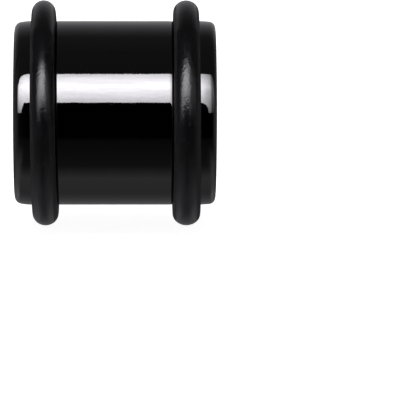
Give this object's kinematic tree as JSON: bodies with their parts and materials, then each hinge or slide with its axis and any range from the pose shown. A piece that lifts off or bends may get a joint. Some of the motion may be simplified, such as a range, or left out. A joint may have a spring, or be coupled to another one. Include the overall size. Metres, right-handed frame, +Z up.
{
  "type": "ear plug gauge",
  "caption": "Straight solid ear plug in polished black stone, with rounded edges and a black rubber O-ring seated in a shallow groove near each end.",
  "frame": {"origin": "the plug's centre: on its axis, midway between its two flat end faces", "axes": "+X along the plug's axis towards the right O-ring, +Z up as the plug lies on both O-rings"},
  "size_m": [0.0174, 0.0196, 0.0196],
  "materials": {
    "black_stone": "polished",
    "black_rubber": "satin"
  },
  "bodies": {
    "root": {"plug_body": "black_stone", "o_ring_left": "black_rubber", "o_ring_right": "black_rubber"}
  },
  "joints": []
}
